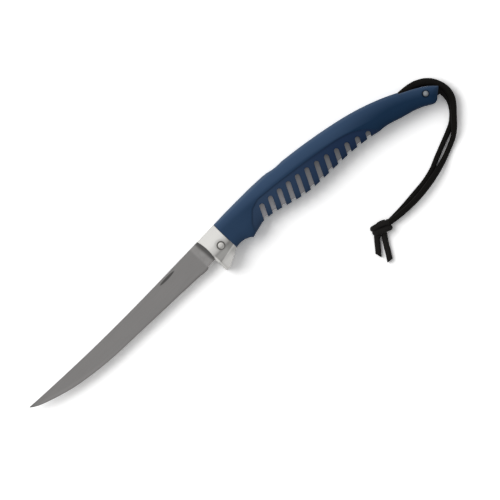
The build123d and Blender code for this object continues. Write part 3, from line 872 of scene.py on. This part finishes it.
@dataclass
class Lanyard:
    """The cord: a bight inside the handle, two legs, a knot and two tails."""

    body: str = "handle"
    cord_slot: str = "lanyard_cord"
    diameter: float = 4.0 * MM
    relief: float = 0.10 * MM
    yarn_pitch: float = 3.2 * MM
    step: float = 0.3 * MM
    yarns: int = 8
    sides: int = 32
    spread: float = 1.06
    lay: float = 0.92
    slants: tuple[float, float] = (-32.0, 26.0)
    cut_reach: float = 3.0
    finish: Finish = BraidedCord("black braided nylon", (0.0032, 0.0027, 0.0023))
    # The knot and the tails get a paler copy of the cord's colour, as painted light
    lit_knot_finish: Finish = BraidedCord("rubbed black nylon", (0.0086, 0.0078, 0.0075))
    pivot: Vector = field(default_factory=lambda: joint_place(FOLD))
    braid: Braid = field(default_factory=Braid)

    # Control points of the routes, in metres from the blade's pivot, with Z from the table
    BIGHT = (
        (0.1692, -0.0185, 0.0062), (0.1634, -0.0178, 0.0062), (0.1574, -0.0183, 0.0062),
        (0.1548, -0.0229, 0.0062), (0.1575, -0.0275, 0.0062), (0.1629, -0.0279, 0.0062),
        (0.1691, -0.0312, 0.0062), (0.1745, -0.0345, 0.0062), (0.1792, -0.0352, 0.0062),
    )
    OUTER_LEG = (
        (0.1692, -0.0185, 0.0062), (0.1745, -0.0194, 0.0062), (0.1800, -0.0220, 0.0062),
        (0.1847, -0.0256, 0.0064), (0.1879, -0.0303, 0.0066), (0.1901, -0.0368, 0.0068),
        (0.1894, -0.0439, 0.0068), (0.1857, -0.0495, 0.0067), (0.1798, -0.0554, 0.0065),
        (0.1740, -0.0616, 0.0056), (0.1686, -0.0657, 0.0034), (0.1616, -0.0685, 0.0021),
        (0.1536, -0.0714, 0.0026), (0.1452, -0.0737, 0.0048), (0.1330, -0.0760, 0.0056),
        (0.1197, -0.0772, 0.0056), (0.1078, -0.0767, 0.0055), (0.0976, -0.0754, 0.0052),
        (0.0922, -0.0742, 0.0045),
    )
    INNER_LEG = (
        (0.1792, -0.0352, 0.0062), (0.1856, -0.0346, 0.0062), (0.1868, -0.0390, 0.0050),
        (0.1860, -0.0455, 0.0033), (0.1828, -0.0509, 0.0022), (0.1789, -0.0551, 0.0020),
        (0.1742, -0.0583, 0.0020), (0.1668, -0.0611, 0.0020), (0.1588, -0.0640, 0.0020),
        (0.1487, -0.0677, 0.0020), (0.1432, -0.0704, 0.0020), (0.1329, -0.0731, 0.0020),
        (0.1211, -0.0738, 0.0020), (0.1094, -0.0745, 0.0020), (0.0984, -0.0745, 0.0022),
        (0.0921, -0.0743, 0.0034),
    )
    SHORT_TAIL = (
        (0.0826, -0.0730, 0.0030), (0.0780, -0.0782, 0.0021), (0.0737, -0.0834, 0.00205),
        (0.0709, -0.0862, 0.00205),
    )
    LONG_TAIL = (
        (0.0865, -0.0764, 0.0030), (0.0819, -0.0825, 0.0021), (0.0780, -0.0892, 0.00205),
        (0.0743, -0.0945, 0.00205),
    )
    # Width of the laid cord along each route, as shares of its diameter
    BIGHT_WIDTHS = (1.35, 1.3, 1.1, 1.05, 1.05, 1.05, 1.05, 1.05, 1.05)
    OUTER_WIDTHS = (
        1.35, 1.4, 1.45, 1.4, 1.3, 1.2, 1.15, 1.1, 1.08, 1.05,
        0.95, 0.93, 0.95, 1.05, 1.1, 1.1, 1.05, 1.05, 1.05,
    )
    INNER_WIDTHS = (
        1.05, 1.15, 1.15, 1.1, 1.08, 1.08, 1.0, 0.93,
        0.91, 0.92, 0.97, 1.08, 1.12, 1.1, 1.05, 1.05,
    )
    # The knot's place, in metres from the blade's pivot, and its turn
    KNOT_CENTRE = (0.0874, -0.0729)
    KNOT_TURN_DEG = -32.2
    # Its strands, in millimetres: X along its band, Y along the legs, Z up from the table
    BAND_TURNS = (
        ((-5.9, 0.4, 3.9), (-5.6, 0.5, 6.0), (-1.6, 1.7, 6.4), (3.2, 2.4, 6.2), (5.9, 1.6, 4.6),
         (5.0, 1.0, 2.2), (0.0, 1.4, 1.95), (-4.8, 0.8, 2.0), (-5.9, 0.4, 3.9)),
        ((-5.2, -2.4, 3.9), (-4.4, -2.6, 6.0), (0.4, -2.3, 6.4), (4.6, -1.7, 6.1), (6.3, -1.4, 3.9),
         (4.4, -1.8, 2.0), (0.0, -2.2, 1.95), (-4.4, -2.4, 2.0), (-5.2, -2.4, 3.9)),
    )
    CORE_STRANDS = (
        ((6.4, 3.0, 3.6), (3.8, 1.8, 4.0), (0.6, 0.2, 4.0), (-2.0, -3.2, 3.6), (-3.8, -5.6, 2.8)),
        ((3.6, 2.9, 5.0), (1.0, 3.0, 5.4), (-2.2, 1.6, 5.4), (-4.0, 0.4, 4.2), (-1.2, -1.0, 3.8),
         (1.3, -4.6, 3.0)),
    )

    def placed(self, route: Sequence[Point]) -> list[Point]:
        """Moves a route from the pivot's frame to the scene's."""
        return [(x + self.pivot.x, y + self.pivot.y, z) for x, y, z in route]

    def tube(
        self, name: str, points: Sequence[Vector], material: bpy.types.Material, widths: Sequence[float] = ()
    ) -> bpy.types.Mesh:
        """Makes one braided stretch along a smooth line.

        Args:
            name: The mesh's name.
            points: The line.
            material: Its material.
            widths: Its width along the line, or nothing for the usual one.

        Returns:
            The mesh.
        """
        return self.braid.grow(
            name,
            points,
            widths or (self.spread, self.spread),
            {
                "Radius": self.diameter / 2,
                "Step": self.step,
                "Yarn pitch": self.yarn_pitch,
                "Relief": self.relief,
                "Lay": self.lay,
                "Sides": self.sides,
                "Yarns": self.yarns,
                "Material": material,
            },
        )

    def build(self) -> None:
        material = self.finish.material()
        # A paler copy of the cord's material, as painted light
        painted_paler = self.lit_knot_finish.material()
        bight_line = route_line(self.placed(self.BIGHT))
        bight_mesh = self.tube("cord_bight", bight_line, material, self.BIGHT_WIDTHS)
        bight = add_piece("cord_bight", bight_mesh, self.body)
        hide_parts("lanyard_bight")
        for name, route, slant in zip(("short", "long"), (self.SHORT_TAIL, self.LONG_TAIL), self.slants):
            line = route_line(self.placed(route))
            mesh = self.tube("cord_tail_" + name, line, painted_paler)
            self.cut_slanting(mesh, line, slant)
            tail = add_piece("cord_tail_" + name, mesh, self.body)
            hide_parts("lanyard_tail_" + name)
        knot = add_piece("cord_knot", self.knot(painted_paler), self.body)
        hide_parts("lanyard_knot")
        legs = (("outer", self.OUTER_LEG, self.OUTER_WIDTHS), ("inner", self.INNER_LEG, self.INNER_WIDTHS))
        for name, route, widths in legs:
            places = self.placed(route)
            line = route_line(places)
            mesh = self.tube("cord_leg_" + name, line, material, widths)
            leg = add_piece("cord_leg_" + name, mesh, self.body)
            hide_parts("lanyard_leg_" + name)

    def cut_slanting(self, mesh: bpy.types.Mesh, line: Sequence[Vector], slant_deg: float) -> None:
        """Cuts a tail's far end on a slant.

        Args:
            mesh: The tail's mesh.
            line: The line that it follows.
            slant_deg: The slant, positive to one side and negative to the other.
        """
        tangent = (line[-1] - line[-2]).normalized()
        normal = Matrix.Rotation(math.radians(slant_deg), 3, "Z") @ tangent
        reach = self.diameter / 2 * abs(math.tan(math.radians(slant_deg)))
        centre = line[-1] - tangent * reach
        for vertex in mesh.vertices:
            beyond = (vertex.co - centre).dot(normal)
            if beyond > 0 and (vertex.co - line[-1]).length < self.cut_reach * self.diameter:
                vertex.co -= tangent * (beyond / tangent.dot(normal))

    def knot(self, material: bpy.types.Material) -> bpy.types.Mesh:
        """Makes the knot: two turns of a band round the strands that pass through it.

        Args:
            material: Its material.

        Returns:
            One mesh.
        """
        x, y = self.KNOT_CENTRE
        centre = Vector((x + self.pivot.x, y + self.pivot.y, 0.0))
        turn = Matrix.Rotation(math.radians(self.KNOT_TURN_DEG), 3, "Z")
        meshes = []
        for number, strand in enumerate((*self.BAND_TURNS, *self.CORE_STRANDS)):
            route = [tuple(centre + turn @ Vector(p) * MM) for p in strand]
            meshes.append(self.tube(f"knot_strand_{number}", route_line(route), material))
        return joined("cord_knot", meshes)


def joined(name: str, meshes: Sequence[bpy.types.Mesh]) -> bpy.types.Mesh:
    """Joins meshes of one material into one, with their stored relief.

    Args:
        name: The new mesh's name.
        meshes: The meshes, which are removed.

    Returns:
        The joined mesh.
    """
    points, faces, relief = [], [], []
    for mesh in meshes:
        first = len(points)
        points.extend(v.co.copy() for v in mesh.vertices)
        faces.extend([first + i for i in p.vertices] for p in mesh.polygons)
        relief.extend(d.value for d in mesh.attributes[Braid.RELIEF].data)
    whole = bpy.data.meshes.new(name)
    whole.from_pydata(points, [], faces)
    whole.attributes.new(Braid.RELIEF, "FLOAT", "POINT").data.foreach_set("value", relief)
    whole.shade_smooth()
    whole.materials.append(meshes[0].materials[0])
    for mesh in meshes:
        bpy.data.meshes.remove(mesh)
    return whole


@dataclass
class Studio:
    """The table, the light and the camera."""

    pivot: Vector = field(default_factory=lambda: joint_place(FOLD))
    view_offset: Point = (11.85 * MM, -16.95 * MM, 0.0)
    view_width: float = 352.75 * MM
    view_turn_deg: float = -46.25
    lens_mm: float = 400.0
    sensor_mm: float = 36.0
    table_side: float = 6.0
    key_distance: float = 3.0
    key_side: float = 2.2
    key_height_deg: float = 49.5
    key_turn_deg: float = 25.0
    key_power: float = 60.0
    fill: float = 0.46
    table_gain: float = 1.38
    table_shade: float = 0.75
    sky_way: Point = (0.0, 0.35, 0.94)
    sky_rise: tuple[float, float] = (0.35, 0.95)
    low_shine: float = 0.4
    high_shine: float = 1.05

    def build(self) -> None:
        """Makes all of it."""
        self.table()
        self.world()
        self.key_light()
        self.camera()

    @property
    def view_centre(self) -> Vector:
        """The point in the middle of the picture."""
        return self.pivot + Vector(self.view_offset)

    def seen(self, nodes: Nodes) -> Wire:
        """Gives 1 where the camera, or gloss or glass, looks at the background."""
        path = nodes.add("ShaderNodeLightPath")
        straight = nodes.out(path, "Is Camera Ray")
        gloss = nodes.out(path, "Is Glossy Ray")
        glass = nodes.out(path, "Is Transmission Ray")
        return nodes.math("MAXIMUM", nodes.math("MAXIMUM", straight, gloss), glass)

    def table(self) -> None:
        """Makes the white table top, which keeps the object's shadow."""
        half = self.table_side / 2
        mesh = bpy.data.meshes.new("table_top")
        corners = [(-half, -half, 0), (half, -half, 0), (half, half, 0), (-half, half, 0)]
        mesh.from_pydata(corners, [], [(0, 1, 2, 3)])
        table = bpy.data.objects.new("table_top", mesh)
        bpy.context.scene.collection.objects.link(table)
        material, nodes = new_material("white table")
        white = nodes.mix(self.seen(nodes), (self.table_shade,) * 3, (self.table_gain,) * 3)
        matt = nodes.add("ShaderNodeBsdfDiffuse", None, Color=white)
        nodes.add("ShaderNodeOutputMaterial", None, Surface=nodes.out(matt))
        mesh.materials.append(material)

    def world(self) -> None:
        """Makes the even fill light, and the sky that shows in metal, brighter overhead."""
        world = bpy.data.worlds.new("studio")
        world.use_nodes = True
        world.node_tree.nodes.clear()
        nodes = Nodes(world.node_tree)
        path = nodes.add("ShaderNodeLightPath")
        way = nodes.out(nodes.add("ShaderNodeTexCoord"), "Generated")
        height = nodes.vector("DOT_PRODUCT", way, self.sky_way)
        sky = self.low_shine + nodes.fade(height, *self.sky_rise) * (self.high_shine - self.low_shine)
        white = nodes.out(path, "Is Camera Ray")
        gloss = nodes.out(path, "Is Glossy Ray")
        level = white + (1.0 - white) * (gloss * sky + (1.0 - gloss) * self.fill)
        background = nodes.add("ShaderNodeBackground", None, Color=(1.0, 1.0, 1.0), Strength=level)
        nodes.add("ShaderNodeOutputWorld", None, Surface=nodes.out(background))
        bpy.context.scene.world = world

    def key_light(self) -> None:
        """Makes the large soft lamp on the spine's side, which metal doesn't mirror."""
        lamp = bpy.data.lights.new("key", "AREA")
        lamp.shape = "SQUARE"
        lamp.size = self.key_side
        lamp.energy = self.key_power
        light = bpy.data.objects.new("key", lamp)
        height, turn = math.radians(self.key_height_deg), math.radians(self.key_turn_deg)
        level = Vector((-math.sin(turn), math.cos(turn), 0.0)) * math.cos(height)
        away = level + Vector((0.0, 0.0, math.sin(height)))
        light.location = self.view_centre + away * self.key_distance
        light.rotation_euler = away.to_track_quat("Z", "Y").to_euler()
        light.visible_glossy = False
        bpy.context.scene.collection.objects.link(light)

    def camera(self) -> None:
        """Makes the camera, straight above and turned as in the photograph."""
        data = bpy.data.cameras.new("camera")
        data.lens = self.lens_mm
        data.sensor_width = self.sensor_mm
        camera = bpy.data.objects.new("camera", data)
        distance = self.view_width * self.lens_mm / self.sensor_mm
        camera.location = self.view_centre + Vector((0.0, 0.0, distance))
        camera.rotation_euler = (0.0, 0.0, math.radians(self.view_turn_deg))
        bpy.context.scene.collection.objects.link(camera)
        bpy.context.scene.camera = camera


def both(name: str) -> list[str]:
    """Names the near and the far one of a pair of pieces.

    Args:
        name: The name that the two share.

    Returns:
        The two full names.
    """
    return [f"{name}_{side.value}" for side in Side]


def dressed_parts() -> list[Dressed]:
    """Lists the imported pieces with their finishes.

    Returns:
        One group for each finish.
    """
    even = Grain.EVEN
    blade_steel = BladeSteel("ground blade steel", (0.228, 0.222, 0.218), roughness=0.34)
    bolster_steel = BolsterSteel(
        "brushed bolster steel", (0.75, 0.74, 0.715), Grain.ACROSS, contrast=0.05, roughness=0.3
    )
    liner_steel = LinerSteel("blasted liner steel", (0.30, 0.29, 0.28), even, roughness=0.5)
    lock_steel = GroundSteel("hardened lock steel", (0.30, 0.30, 0.295), roughness=0.4)
    turned = {"contrast": 0.04, "roughness": 0.25}
    head_steel = HeadSteel("polished pivot steel", (0.53, 0.52, 0.50), even, **turned)
    pin_steel = GroundSteel("turned pin steel", (0.60, 0.59, 0.57), even, **turned)
    worn_steel = GroundSteel("worn pin steel", (0.27, 0.29, 0.31), even, roughness=0.4)
    bronze = GroundSteel("bushing bronze", (0.52, 0.37, 0.16), even, contrast=0.08)
    nylon = PaintedLightNylon("blue handle nylon", (0.0088, 0.027, 0.062), shine=0.05)
    rubber = GradedRubber("blue grip rubber", (0.022, 0.038, 0.080), roughness=0.62, shine=0.05)

    return [
        Dressed(["blade"], blade_steel),
        Dressed(both("bolster"), bolster_steel),
        Dressed(both("liner") + ["back_spacer"], liner_steel),
        Dressed(["lock_bar", "back_spring"], lock_steel),
        Dressed(["bolster_rivets", "lock_bar_pin", "spring_pin", "spacer_pins"], pin_steel),
        Dressed(["pivot_pin"], head_steel),
        Dressed(["lanyard_pin"], worn_steel),
        Dressed(["pivot_bushing"] + both("pivot_washer"), bronze),
        Dressed(both("scale"), nylon),
        Dressed(both("grip"), rubber),
    ]


def main() -> None:
    """Builds the scene: studio, lanyard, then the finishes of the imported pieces."""
    logging.basicConfig(level=logging.INFO, format="%(name)s: %(message)s")
    bpy.context.scene.view_settings.view_transform = "Standard"
    Studio().build()
    Lanyard().build()
    for group in dressed_parts():
        group.dress()


if __name__ == "__main__":
    main()
